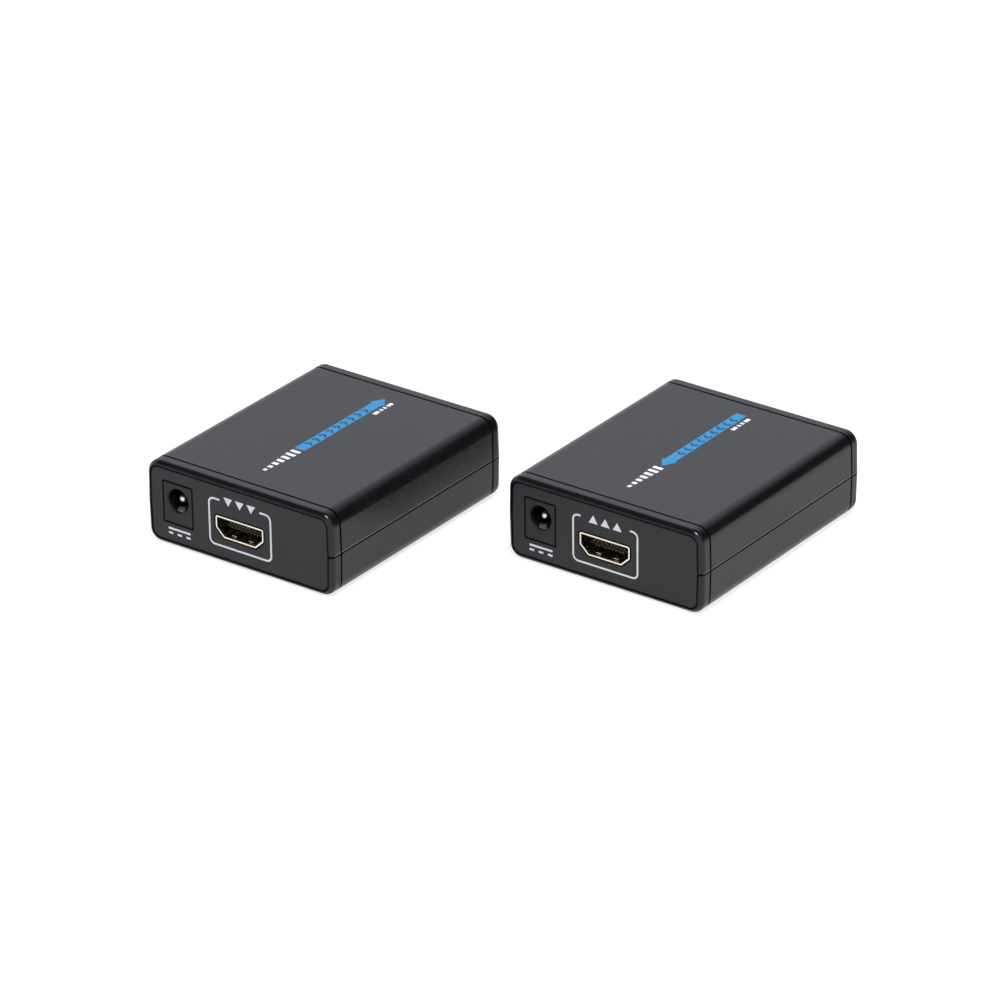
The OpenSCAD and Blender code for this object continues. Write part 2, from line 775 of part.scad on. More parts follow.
module circuit_board() {
    color("#1d5a34")
        difference() {
            translate([-board_w / 2, front_y + board_end, board_under])
                cube([board_w, case_d - 2 * board_end, board_t]);
            for (p = screw_places)
                translate([p[0], p[1], board_under - cut])
                    cylinder(d = screw_d + 2 * screw_gap, h = board_t + 2 * cut);
            leg_slot(-jack_left, pin_leg_y + terminal_t / 2, leaf_w, terminal_t);
            leg_slot(-jack_left, terminal_y + terminal_t / 2, leaf_w, terminal_t);
            leg_slot(switch_right - jack_left, switch_y + switch_w / 2, terminal_t, switch_w);
            for (side = [-1, 1], y = video_leg_y)
                leg_slot(video_right + side * (video_w - video_shell_t) / 2, y, video_shell_t, video_leg_w);
            at_rear() {
                for (i = [0:wire_count - 1])
                    translate([wire_x[i], lead_drop_y[i] + wire_t / 2, board_under - cut])
                        cylinder(d = wire_w + 2 * leg_gap, h = board_t + 2 * cut);
                for (side = [-1, 1])
                    leg_slot(side * (net_w - net_shield_t) / 2, net_leg_y, net_shield_t, net_leg_w);
            }
        }
}

// Power jack

// Height of the leaf's upper face at y
function leaf_top_at(y) =
    leaf_root[1] + leaf_t / 2
    + (leaf_crest[1] - leaf_root[1]) * (leaf_root[0] - y) / (leaf_root[0] - leaf_crest[0]);
switch_tab_z = leaf_top_at(switch_y) + switch_rest_gap;

module power_jack_housing() {
    slot_w = leaf_w + 2 * jack_part_gap;
    slot_z = leaf_root[1] - leaf_roll_r - jack_part_gap;
    slot_rear = terminal_y + terminal_t + jack_part_gap;
    color("#1b1b1d")
        translate([-jack_left, 0, 0])
            difference() {
                union() {
                    translate([-jack_w / 2, face_y, board_z])
                        cube([jack_w, jack_block_d, jack_h]);
                    along_y(face_y, face_y + jack_d) {
                        translate([-jack_w / 2, board_z])
                            square([jack_w, jack_axis_h]);
                        translate([0, jack_axis_z])
                            circle(d = jack_w);
                    }
                }
                // Bore with a bevelled mouth, and the pin's hole behind it
                translate([0, face_y, jack_axis_z])
                    rotate([-90, 0, 0]) {
                        translate([0, 0, -cut])
                            cylinder(d = jack_bore_d, h = jack_bore_deep + cut);
                        cylinder(d1 = jack_bore_d + 2 * jack_bevel, d2 = jack_bore_d, h = jack_bevel);
                        cylinder(d = pin_root_d + 2 * pin_root_gap, h = jack_d + cut);
                    }
                // Slot under the bore for the spring leaf
                translate([-slot_w / 2, leaf_tip[0] - leaf_t - jack_part_gap, slot_z])
                    cube([slot_w, slot_rear - leaf_tip[0] + leaf_t + jack_part_gap,
                          jack_axis_z - leaf_slot_down - slot_z]);
                // Way down for the leaf's terminal
                translate([-slot_w / 2, terminal_y - jack_part_gap, board_z - cut])
                    cube([slot_w, slot_rear - terminal_y + jack_part_gap, slot_z - board_z + 2 * cut]);
                // Pocket for the switch terminal
                translate([0, switch_y - jack_part_gap, board_z - cut])
                    cube([switch_right + terminal_t / 2 + jack_part_gap, switch_w + 2 * jack_part_gap,
                          switch_tab_z + switch_tab_t + jack_part_gap - board_z + cut]);
            }
}

// The centre pin, rounded at its tip, its thick root and its flat leg behind the housing
module power_jack_pin() {
    r = pin_d / 2;
    free_len = jack_bore_deep - pin_tip_in;
    color("#d9d5cc")
        translate([-jack_left, 0, 0]) {
            translate([0, face_y + pin_tip_in, jack_axis_z])
                rotate([-90, 0, 0])
                    rotate_extrude() {
                        translate([0, r])
                            square([r, free_len - r]);
                        translate([0, free_len])
                            square([pin_root_d / 2, jack_d - jack_bore_deep + terminal_t / 2]);
                        translate([0, r])
                            intersection() {
                                circle(r = r);
                                translate([0, -r])
                                    square(r);
                            }
                    }
            translate([-leaf_w / 2, pin_leg_y, leg_end])
                cube([leaf_w, terminal_t, jack_axis_z + pin_root_d / 2 - leg_end]);
        }
}

// The leaf's terminal with its round seat, and the switch terminal over the leaf
module power_jack_terminals() {
    seat_r = leaf_roll_r + leaf_roll_gap;
    seat_top = leaf_root[1] + leaf_roll_r;
    seat_low = leaf_root[1] - seat_r - seat_wall;
    color("#c9c3b4")
        translate([-jack_left, 0, 0]) {
            difference() {
                translate([-leaf_w / 2, leaf_root[0], leg_end]) {
                    translate([0, leaf_roll_r, 0])
                        cube([leaf_w, terminal_t, seat_top - leg_end]);
                    translate([0, 0, seat_low - leg_end])
                        cube([leaf_w, leaf_roll_r + terminal_t, seat_top - seat_low]);
                }
                across_x(leaf_w + 2 * cut)
                    translate(leaf_root)
                        circle(r = seat_r);
            }
            translate([switch_right - terminal_t / 2, switch_y, leg_end])
                cube([terminal_t, switch_w, switch_tab_z + switch_tab_t - leg_end]);
            translate([leaf_w / 2 - switch_over, switch_y, switch_tab_z])
                cube([switch_right - leaf_w / 2 + switch_over, switch_w, switch_tab_t]);
        }
}

// The sleeve contact: a leaf that the plug presses down, turning at its root
module power_jack_spring() {
    color("#e2ded2")
        translate([-jack_left, 0, 0])
            across_x(leaf_w) {
                translate(leaf_root)
                    circle(r = leaf_roll_r);
                hull() {
                    translate(leaf_root)
                        circle(d = leaf_t);
                    translate(leaf_crest)
                        circle(d = leaf_t);
                }
                hull() {
                    translate(leaf_crest)
                        circle(d = leaf_t);
                    translate(leaf_tip)
                        circle(d = leaf_t);
                }
            }
}

// Video socket

// The socket's outline about its middle: upright sides over sloping lower corners
module video_outline(grow) {
    r = video_bend_r;
    hull()
        for (side = [-1, 1]) {
            translate([side * (video_w / 2 - r), video_h / 2 - r])
                circle(r = r + grow);
            translate([side * (video_w / 2 - r), video_h / 2 - video_side_h + r / 2])
                circle(r = r + grow);
            translate([side * (video_w / 2 - video_slope_w - r / 2), r - video_h / 2])
                circle(r = r + grow);
        }
}

// A spring finger lies between two slits and leans into the socket
module finger_window() {
    window_w = finger_w + 2 * finger_slit;
    translate([-window_w / 2, 0, -cut])
        cube([window_w, finger_len + finger_slit, 2 * cut]);
}

module finger_blade() {
    lean = atan(finger_lean / finger_len);
    rotate([-lean, 0, 0])
        translate([-finger_w / 2, -finger_len, 0])
            cube([finger_w, finger_len + finger_slit, video_shell_t]);
}

module video_socket_shell() {
    wall_x = (video_w - video_shell_t) / 2;
    wall_z = (video_h - video_shell_t) / 2;
    window_y = face_y + finger_in - finger_slit;
    root_y = window_y + finger_len + finger_slit;
    color("#c9a24a")
        translate([video_right, 0, 0]) {
            difference() {
                along_y(face_y, video_back)
                    difference() {
                        translate([0, video_z])
                            video_outline(0);
                        translate([0, video_z])
                            video_outline(-video_shell_t);
                    }
                for (side = [-1, 1], level = [-1, 1])
                    translate([side * finger_spread / 2, window_y, video_z + level * wall_z])
                        finger_window();
            }
            for (side = [-1, 1]) {
                translate([side * finger_spread / 2, root_y, video_z - video_h / 2])
                    finger_blade();
                translate([side * finger_spread / 2, root_y, video_z + video_h / 2])
                    mirror([0, 0, 1])
                        finger_blade();
                for (y = video_leg_y)
                    translate([side * wall_x - video_shell_t / 2, y - video_leg_w / 2, leg_end])
                        cube([video_shell_t, video_leg_w, video_z - leg_end]);
            }
        }
}

// Sideways places of the contacts in a row
function contact_x(count) = [for (i = [0:count - 1]) (i - (count - 1) / 2) * video_pitch];

module video_socket_insulator() {
    tongue_front = face_y + video_tongue_in;
    block_front = face_y + video_block_in;
    color("#18181a")
        translate([video_right, 0, 0])
            difference() {
                union() {
                    along_y(block_front, video_back)
                        translate([0, video_z])
                            video_outline(-video_shell_t - video_fit_gap);
                    translate([-video_tongue_w / 2, tongue_front, video_tongue_z - video_tongue_t / 2])
                        cube([video_tongue_w, video_back - tongue_front, video_tongue_t]);
                }
                // Channels for the contacts through the block
                for (row = [0, 1])
                    for (x = contact_x(video_upper_count - row))
                        translate([x, block_front - cut, video_tongue_z])
                            mirror([0, 0, row])
                                translate([-video_contact_w / 2 - video_fit_gap, 0, video_tongue_t / 2])
                                    cube([video_contact_w + 2 * video_fit_gap, video_d,
                                          video_contact_t + video_fit_gap]);
            }
}

// Each contact lies on the tongue, passes through the block and drops to the board
module video_socket_contacts() {
    tongue_front = face_y + video_tongue_in + video_contact_t;
    drop_y = video_back + video_drop_gap;
    color("#d8b860")
        for (row = [0, 1])
            for (x = contact_x(video_upper_count - row)) {
                level = row == 0 ? video_tongue_t / 2 : -video_tongue_t / 2 - video_contact_t;
                low = video_tongue_z + level;
                translate([video_right + x - video_contact_w / 2, 0, 0]) {
                    translate([0, tongue_front, low])
                        cube([video_contact_w, drop_y + video_contact_t - tongue_front, video_contact_t]);
                    translate([0, drop_y, board_z])
                        cube([video_contact_w, video_contact_t, low + video_contact_t - board_z]);
                    translate([0, drop_y, board_z])
                        cube([video_contact_w, video_foot_len, video_contact_t]);
                }
            }
}

// Network socket, drawn at the front and turned to the rear

// The plug's way in: the plug's body and, below it, its latch
module plug_outline(grow) {
    translate([-plug_w / 2 - grow, plug_low - grow])
        square([plug_w + 2 * grow, plug_h + 2 * grow]);
    translate([-latch_w / 2 - grow, plug_low - latch_h - grow])
        square([latch_w + 2 * grow, latch_h + 2 * grow]);
}

module lamp_outline(grow) {
    for (side = [-1, 1])
        translate([side * lamp_x, board_z + lamp_z + lamp_h / 2])
            square([lamp_w + 2 * grow, lamp_h + 2 * grow], center = true);
}

module network_socket_shield() {
    t = net_shield_t;
    color("#b9bbbe")
        at_rear() {
            difference() {
                translate([-net_w / 2, face_y, board_z])
                    cube([net_w, net_d, net_h]);
                translate([t - net_w / 2, face_y + t, board_z - cut])
                    cube([net_w - 2 * t, net_d - 2 * t, net_h - t + cut]);
                along_y(face_y - cut, face_y + t + cut) {
                    plug_outline(net_gap);
                    lamp_outline(net_gap);
                }
            }
            for (side = [-1, 1])
                translate([side * (net_w - t) / 2 - t / 2, net_leg_y - net_leg_w / 2, leg_end])
                    cube([t, net_leg_w, board_z + net_h / 2 - leg_end]);
        }
}

module network_socket_housing() {
    t = net_shield_t + net_gap;
    front = face_y + t;
    back = face_y + net_house_d;
    slot_w = wire_w + 2 * wire_gap;
    slot_y = wire_fold[0] - wire_roll_r - wire_gap;
    color("#1a1b1d")
        at_rear()
            difference() {
                translate([t - net_w / 2, front, board_z])
                    cube([net_w - 2 * t, back - front, net_h - t]);
                along_y(front - cut, face_y + plug_deep)
                    plug_outline(0);
                along_y(front - cut, face_y + lamp_d + net_gap)
                    lamp_outline(net_gap);
                for (x = wire_x) {
                    // Slot through the roof, where the wire folds down into the way in
                    translate([x - slot_w / 2, slot_y, plug_low + plug_h - cut])
                        cube([slot_w, wire_slot_len, net_h]);
                    // Open channel for the lead along the roof
                    translate([x - slot_w / 2, slot_y, lead_run_z - wire_gap])
                        cube([slot_w, net_d, net_h]);
                }
            }
}

// The fixed leads: over each fold, back along the roof and down through the board
module network_socket_leads() {
    seat_r = wire_roll_r + wire_roll_gap;
    color("#cfc08a")
        at_rear()
            for (i = [0:wire_count - 1])
                translate([wire_x[i], 0, 0]) {
                    difference() {
                        translate([-wire_w / 2, wire_fold[0], wire_fold[1]])
                            cube([wire_w, wire_roll_r + wire_t, wire_roll_r + wire_t]);
                        across_x(wire_w + 2 * cut)
                            translate(wire_fold)
                                circle(r = seat_r);
                    }
                    translate([-wire_w / 2, wire_fold[0], lead_run_z])
                        cube([wire_w, lead_drop_y[i] + wire_t - wire_fold[0], wire_t]);
                    translate([-wire_w / 2, lead_drop_y[i], leg_end])
                        cube([wire_w, wire_t, lead_run_z + wire_t - leg_end]);
                }
}

// The springy wires in the plug's way in, turning at their fold
module network_socket_contacts() {
    color("#e0c060")
        at_rear()
            for (x = wire_x)
                translate([x, 0, 0])
                    across_x(wire_w) {
                        translate(wire_fold)
                            circle(r = wire_roll_r);
                        wire_strip(wire_fold, wire_end);
                    }
}

// A straight strip of wire's thickness between two points
module wire_strip(from, to) {
    turn = atan2(to[1] - from[1], to[0] - from[0]);
    translate(from)
        rotate(turn)
            translate([0, -wire_t / 2])
                square([norm(to - from), wire_t]);
}

module network_socket_lamps() {
    color("#6fae58")
        at_rear()
            along_y(face_y, face_y + lamp_d)
                lamp_outline(0);
}

// Parts on the board

// A gull-wing lead that leaves a chip's side at half its height
module lead(body_h) {
    rise = body_h / 2;
    heel = lead_reach - lead_foot;
    knee = heel - lead_step;
    translate([-lead_w / 2, 0, board_z])
        rotate([90, 0, 90])
            linear_extrude(lead_w)
                polygon([
                    [-lead_t, rise], [knee, rise], [heel, 0], [lead_reach, 0],
                    [lead_reach, lead_t], [heel + lead_step, lead_t],
                    [heel, rise + lead_t], [-lead_t, rise + lead_t]
                ]);
}

// A flat chip with a row of leads on each side that faces y, and on all sides if square
module chip(len, w, h, leads, pitch, turns) {
    translate([-len / 2, -w / 2, board_z + lead_t / 2])
        cube([len, w, h]);
    for (turn = turns)
        rotate([0, 0, turn])
            for (i = [0:leads - 1])
                translate([(i - (leads - 1) / 2) * pitch, w / 2, 0])
                    lead(h);
}

module link_chip() {
    color("#1c1d1f")
        translate(link_chip_at)
            chip(chip_w, chip_w, chip_h, chip_leads, chip_pitch, [0, 90, 180, 270]);
}

module video_chip() {
    color("#1c1d1f")
        translate(video_chip_at)
            chip(video_chip_len, video_chip_w, small_chip_h, video_chip_leads, video_chip_pitch, [0, 180]);
}

module memory_chip() {
    color("#1c1d1f")
        translate(memory_at)
            chip(memory_len, memory_w, small_chip_h, memory_leads, chip_pitch, [0, 180]);
}

module crystal() {
    color("#b5b7ba")
        translate([crystal_at[0], crystal_at[1], board_z])
            for (level = [0, 1]) {
                grow = level == 0 ? crystal_rim : 0;
                linear_extrude(level == 0 ? crystal_rim_t : crystal_h)
                    for (side = [-1, 1]) {
                        translate([side * (crystal_len - crystal_w) / 2, 0])
                            circle(d = crystal_w + 2 * grow);
                        square([crystal_len - crystal_w, crystal_w + 2 * grow], center = true);
                    }
            }
}

module voltage_regulator() {
    leg_len = regulator_leg_len + regulator_leg_t;
    foot_y = regulator_d / 2 + regulator_leg_len;
    color("#1c1d1f")
        translate([regulator_at[0], regulator_at[1], board_z]) {
            translate([-regulator_w / 2, -regulator_d / 2, regulator_leg_t / 2])
                cube([regulator_w, regulator_d, regulator_h]);
            for (i = [-1:1])
                translate([i * regulator_pitch - regulator_leg_w / 2, -foot_y, 0])
                    cube([regulator_leg_w, leg_len, regulator_leg_t]);
            translate([-regulator_tab_w / 2, foot_y - leg_len, 0])
                cube([regulator_tab_w, leg_len, regulator_leg_t]);
        }
}

module power_inductor() {
    color("#4a4c50")
        translate([inductor_at[0], inductor_at[1], board_z]) {
            linear_extrude(inductor_block_h)
                rounded_square(inductor_w, inductor_w, inductor_r);
            cylinder(d = inductor_top_d, h = inductor_h);
        }
}

module filter_capacitors() {
    color("#c4c7cb")
        for (place = can_places)
            translate([place[0], place[1], board_z]) {
                translate([-can_base_w / 2, -can_base_w / 2, 0])
                    cube([can_base_w, can_base_w, can_base_h]);
                cylinder(d = can_d, h = can_h);
            }
}

module small_parts() {
    color("#b49a6a")
        for (row = small_rows)
            for (i = [0:row[1] - 1])
                translate([row[0][0] + (i - (row[1] - 1) / 2) * bit_pitch, row[0][1], board_z])
                    translate([-bit_w / 2, -bit_len / 2, 0])
                        cube([bit_w, bit_len, bit_h]);
}

for (unit = UNITS) {
    at_unit(unit) {
        top_shell();
        bottom_shell();
        front_panel();
        rear_panel();
        case_screws();
        circuit_board();
        power_jack_housing();
        power_jack_pin();
        power_jack_terminals();
        power_jack_spring();
        video_socket_shell();
        video_socket_insulator();
        video_socket_contacts();
        network_socket_shield();
        network_socket_housing();
        network_socket_leads();
        network_socket_contacts();
        network_socket_lamps();
        link_chip();
        video_chip();
        memory_chip();
        crystal();
        voltage_regulator();
        power_inductor();
        filter_capacitors();
        small_parts();
    }
}
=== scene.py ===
import math

import bmesh
import bpy
from mathutils import Matrix, Vector


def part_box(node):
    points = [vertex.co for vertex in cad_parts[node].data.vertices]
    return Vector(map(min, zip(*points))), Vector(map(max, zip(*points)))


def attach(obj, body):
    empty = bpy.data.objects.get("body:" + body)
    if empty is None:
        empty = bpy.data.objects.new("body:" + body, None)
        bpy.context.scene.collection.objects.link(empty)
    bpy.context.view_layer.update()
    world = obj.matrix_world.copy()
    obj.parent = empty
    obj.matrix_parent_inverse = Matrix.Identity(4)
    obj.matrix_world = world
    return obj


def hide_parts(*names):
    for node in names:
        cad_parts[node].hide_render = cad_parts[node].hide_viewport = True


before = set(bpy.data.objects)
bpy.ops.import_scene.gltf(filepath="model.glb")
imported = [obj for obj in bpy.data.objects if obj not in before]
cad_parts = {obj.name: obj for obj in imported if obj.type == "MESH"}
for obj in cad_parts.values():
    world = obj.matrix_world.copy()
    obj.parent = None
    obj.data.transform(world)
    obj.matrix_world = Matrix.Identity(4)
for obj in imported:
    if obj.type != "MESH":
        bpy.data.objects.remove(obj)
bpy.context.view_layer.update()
MM = 0.001
UNITS = ("sender", "receiver")


# Camera, from a model fitted to the edges of both boxes in the photograph

# Its angles, its distance in metres from its target, and its lens and sensor in millimetres
VIEW_AZIMUTH = math.radians(36.33)
VIEW_ELEVATION = math.radians(26.51)
VIEW_ROLL = math.radians(-0.67)
VIEW_DISTANCE = 1.4564
VIEW_TARGET = Vector((-9.21, 10.57, 0)) * MM
VIEW_LENS = 206.06
VIEW_SENSOR = 36
VIEW_CLIP = (0.05, 50)


def make_camera():
    a, e = VIEW_AZIMUTH, VIEW_ELEVATION
    back = Vector((math.sin(a) * math.cos(e), -math.cos(a) * math.cos(e), math.sin(e)))
    level = Vector((math.cos(a), math.sin(a), 0))
    rise = back.cross(level)
    right = level * math.cos(VIEW_ROLL) + rise * math.sin(VIEW_ROLL)
    up = rise * math.cos(VIEW_ROLL) - level * math.sin(VIEW_ROLL)
    data = bpy.data.cameras.new("camera")
    data.lens = VIEW_LENS
    data.sensor_width = VIEW_SENSOR
    data.clip_start, data.clip_end = VIEW_CLIP
    cam = bpy.data.objects.new("camera", data)
    bpy.context.scene.collection.objects.link(cam)
    turn = Matrix((right, up, back)).transposed().to_4x4()
    cam.matrix_world = Matrix.Translation(VIEW_TARGET + back * VIEW_DISTANCE) @ turn
    bpy.context.scene.camera = cam


make_camera()


# Materials

# Levels between which most of a noise lies
NOISE_LOW = 0.3
NOISE_HIGH = 0.7

# Cosines between a rounded and a flat normal at which an edge starts and is full
EDGE_STARTS = 0.998
EDGE_FULL = 0.93

# Shares of open sky over which painted shade runs from a closed gap to an open face, and from an edge to the
# middle of a face, and the shine that painted shade leaves at an edge
GAP_SHADE_RANGE = (0.45, 0.9)
EDGE_SHADE_RANGE = (0.62, 0.96)
EDGE_SHADED_SHINE = 0.05

# A face looks sideways where its normal's x, squared, is above this
SIDEWAYS = 0.8

# The Mix node's colour sockets, by number: it has others of the same names
MIX_A = 6
MIX_B = 7
MIX_RESULT = 2


class Nodes:
    """A material's node tree, with short calls for the nodes that the surfaces share."""

    def __init__(self, name):
        self.mat = bpy.data.materials.new(name)
        self.mat.use_nodes = True
        self.tree = self.mat.node_tree
        self.tree.nodes.clear()
        self.out = self.tree.nodes.new("ShaderNodeOutputMaterial")
        self.shader = self.tree.nodes.new("ShaderNodeBsdfPrincipled")
        self.link(self.shader, "BSDF", self.out, "Surface")
        self.coords = self.tree.nodes.new("ShaderNodeTexCoord")

    def link(self, a, out, b, into):
        self.tree.links.new(a.outputs[out], b.inputs[into])

    def node(self, kind, **values):
        n = self.tree.nodes.new(kind)
        for key, value in values.items():
            setattr(n, key, value)
        return n

    def stretched(self, stretch):
        m = self.node("ShaderNodeMapping")
        m.inputs["Scale"].default_value = stretch
        self.link(self.coords, "Object", m, "Vector")
        return m

    def noise(self, size, detail=3.0, rough=0.55, stretch=None):
        """Noise whose blobs are about size millimetres across."""
        n = self.node("ShaderNodeTexNoise")
        n.inputs["Scale"].default_value = 1 / (size * MM)
        n.inputs["Detail"].default_value = detail
        n.inputs["Roughness"].default_value = rough
        if stretch:
            self.link(self.stretched(stretch), "Vector", n, "Vector")
        else:
            self.link(self.coords, "Object", n, "Vector")
        return n

    def ranged(self, source, out, low, high, start=NOISE_LOW, end=NOISE_HIGH):
        """A value that goes from low to high as the source goes from start to end."""
        r = self.node("ShaderNodeMapRange")
        r.inputs["From Min"].default_value = start
        r.inputs["From Max"].default_value = end
        r.inputs["To Min"].default_value = low
        r.inputs["To Max"].default_value = high
        self.link(source, out, r, "Value")
        return r

    def mix(self, fac, fac_out, a, b):
        """A colour between a and b, each a tone or another node's output."""
        m = self.node("ShaderNodeMix", data_type="RGBA")
        self.link(fac, fac_out, m, "Factor")
        for value, socket in ((a, m.inputs[MIX_A]), (b, m.inputs[MIX_B])):
            if isinstance(value, bpy.types.NodeSocket):
                self.tree.links.new(value, socket)
            else:
                socket.default_value = (*value, 1)
        return m.outputs[MIX_RESULT]

    def color(self, socket):
        self.tree.links.new(socket, self.shader.inputs["Base Color"])

    def bump(self, source, out, depth, strength=1.0, normal=None):
        """Relief of the given depth in millimetres, on top of another node's normal."""
        b = self.node("ShaderNodeBump")
        b.inputs["Strength"].default_value = strength
        b.inputs["Distance"].default_value = depth * MM
        self.link(source, out, b, "Height")
        if normal:
            self.link(normal, "Normal", b, "Normal")
        self.link(b, "Normal", self.shader, "Normal")

    def rounded(self, radius):
        """The normal of edges rounded by radius millimetres."""
        bevel = self.node("ShaderNodeBevel", samples=6)
        bevel.inputs["Radius"].default_value = radius * MM
        return bevel

    def edge_mask(self, bevel):
        """1 where a rounded normal turns away from the flat one, along edges, else 0."""
        geometry = self.node("ShaderNodeNewGeometry")
        dot = self.node("ShaderNodeVectorMath", operation="DOT_PRODUCT")
        self.link(bevel, "Normal", dot, 0)
        self.link(geometry, "Normal", dot, 1)
        return self.ranged(dot, "Value", 0, 1, EDGE_STARTS, EDGE_FULL)

    def times(self, a, a_out, b, b_out):
        m = self.node("ShaderNodeMath", operation="MULTIPLY")
        self.link(a, a_out, m, 0)
        self.link(b, b_out, m, 1)
        return m

    def gap_shade_mask(self, reach):
        """Painted shade: 1 on open faces and 0 in gaps and grooves that are narrower than the reach."""
        open_sky = self.node("ShaderNodeAmbientOcclusion", samples=8)
        open_sky.inputs["Distance"].default_value = reach * MM
        return self.ranged(open_sky, "AO", 0, 1, *GAP_SHADE_RANGE)

    def edge_shade_mask(self, reach):
        """Painted shade along edges: 1 on open faces, falling to 0 at an edge, from light let through inside
        the piece.
        """
        inner = self.node("ShaderNodeAmbientOcclusion", samples=8, inside=True)
        inner.inputs["Distance"].default_value = reach * MM
        return self.ranged(inner, "AO", EDGE_SHADED_SHINE, 1, *EDGE_SHADE_RANGE)

    def side_line(self, low, high):
        """1 between two heights on faces that look sideways, else 0."""
        place = self.node("ShaderNodeSeparateXYZ")
        self.link(self.coords, "Object", place, 0)
        level = self.node("ShaderNodeMath", operation="COMPARE")
        self.link(place, "Z", level, 0)
        level.inputs[1].default_value = (low + high) / 2 * MM
        level.inputs[2].default_value = (high - low) / 2 * MM
        facing = self.node("ShaderNodeSeparateXYZ")
        geometry = self.node("ShaderNodeNewGeometry")
        self.link(geometry, "Normal", facing, 0)
        square = self.times(facing, "X", facing, "X")
        aside = self.node("ShaderNodeMath", operation="GREATER_THAN")
        self.link(square, 0, aside, 0)
        aside.inputs[1].default_value = SIDEWAYS
        return self.times(level, 0, aside, 0)

    def fixed(self, **values):
        for key, value in values.items():
            self.shader.inputs[key.replace("_", " ")].default_value = value


# Heights of the upper shell's lower lip, where a painted highlight stands for the light it catches from the
# table
LIP_HIGHLIGHT_RANGE = (11.40, 11.64)

# Moulded plastic: the sizes of its clouds and specks, the width of a gap that gets painted shade, and the
# shine that painted shade leaves there
CLOUD_SIZE = 9
SPECK_SIZE = 0.9
GAP_REACH = 0.9
GAP_SHADED_SHINE = 0.03

# How much its roughness changes with the specks, and along worn edges
SPECK_ROUGH = 0.035
EDGE_POLISH = -0.09


def moulded(name, tone, light_tone, rough, grain, depth, edge, spec=0.5, edge_shade_reach=0.2, lip_highlight_gain=0):
    """Moulded plastic: a fine eroded grain, a cloudy tone, and painted shade that makes gaps and edges shine
    less.

    Sizes are in millimetres. edge_shade_reach is how far from an edge the painted shade reaches.
    lip_highlight_gain is how many times lighter than light_tone the upper shell's lower lip is, a painted
    highlight.
    """
    n = Nodes(name)
    bevel = n.rounded(edge)
    fine = n.noise(grain, 2.0, 0.6)
    broad = n.noise(CLOUD_SIZE, 4.0)
    speck = n.noise(SPECK_SIZE, 3.0)
    cloud = n.mix(n.ranged(broad, "Fac", 0, 1), "Result", tone, light_tone)
    # Painted highlight: a band on the upper shell's lower lip gets a much lighter colour
    if lip_highlight_gain:
        n.color(n.mix(n.side_line(*LIP_HIGHLIGHT_RANGE), 0, cloud, [lip_highlight_gain * c for c in light_tone]))
    else:
        n.color(cloud)
    # Painted shade: ambient occlusion cuts the shine in gaps and grooves, and near edges
    unshaded_share = n.times(n.gap_shade_mask(GAP_REACH), "Result", n.edge_shade_mask(edge_shade_reach), "Result")
    n.link(n.ranged(unshaded_share, 0, GAP_SHADED_SHINE, spec, 0, 1), "Result", n.shader, "Specular IOR Level")
    base = n.ranged(speck, "Fac", rough - SPECK_ROUGH, rough + SPECK_ROUGH)
    polish = n.node("ShaderNodeMath", operation="MULTIPLY_ADD")
    n.link(n.edge_mask(bevel), "Result", polish, 0)
    polish.inputs[1].default_value = EDGE_POLISH
    n.link(base, "Result", polish, 2)
    n.link(polish, "Value", n.shader, "Roughness")
    n.bump(fine, "Fac", depth, 0.8, bevel)
    n.fixed(IOR=1.49)
    return n.mat


# Metal: the size of its duller patches, and how its roughness runs from bright to dull
DULL_PATCH = 2.2
BRIGHT_BY = 0.05
DULL_BY = 0.09


def metal(name, tone, dull_tone, rough, grain=0.08, depth=0.002, stretch=None, edge=0.03):
    """Stamped or turned metal: rolling lines or a plated grain, with duller patches."""
    n = Nodes(name)
    fine = n.noise(grain, 2.0, 0.5, stretch)
    broad = n.noise(DULL_PATCH, 4.0)
    n.color(n.mix(n.ranged(broad, "Fac", 0, 1), "Result", tone, dull_tone))
    n.link(n.ranged(broad, "Fac", rough - BRIGHT_BY, rough + DULL_BY), "Result", n.shader, "Roughness")
    n.bump(fine, "Fac", depth, 0.7, n.rounded(edge))
    n.fixed(Metallic=1.0)
    return n.mat


# Ink: the size, the share and the relief of its pinholes, and the size and the range of its uneven sheen
PINHOLE = 0.18
PINHOLE_RANGE = (0.62, 0.8)
PINHOLE_DEPTH = 0.004
INK_PATCH = 2.5
INK_ROUGH = (0.38, 0.5)


def ink(name, tone, worn_tone):
    """Screen-printed ink: a thin film with pinholes and a slightly uneven sheen."""
    n = Nodes(name)
    pin = n.noise(PINHOLE, 2.0, 0.7)
    broad = n.noise(INK_PATCH, 3.0)
    n.color(n.mix(n.ranged(pin, "Fac", 0, 1, *PINHOLE_RANGE), "Result", tone, worn_tone))
    n.link(n.ranged(broad, "Fac", *INK_ROUGH), "Result", n.shader, "Roughness")
    n.bump(pin, "Fac", PINHOLE_DEPTH, 0.5)
    n.fixed(Specular_IOR_Level=0.3)
    return n.mat


# Circuit board: the pitch, the edge, the height and the tone of its tracks, and its own tone and grain
TRACK_PITCH = 3.2
TRACK_EDGE = (0.50, 0.54)
TRACK_RISE = 0.03
TRACK_GREEN = (0.030, 0.17, 0.075)
MASK_GREEN = (0.020, 0.11, 0.050)
MASK_GRAIN = 0.3
MASK_ROUGH = (0.24, 0.34)


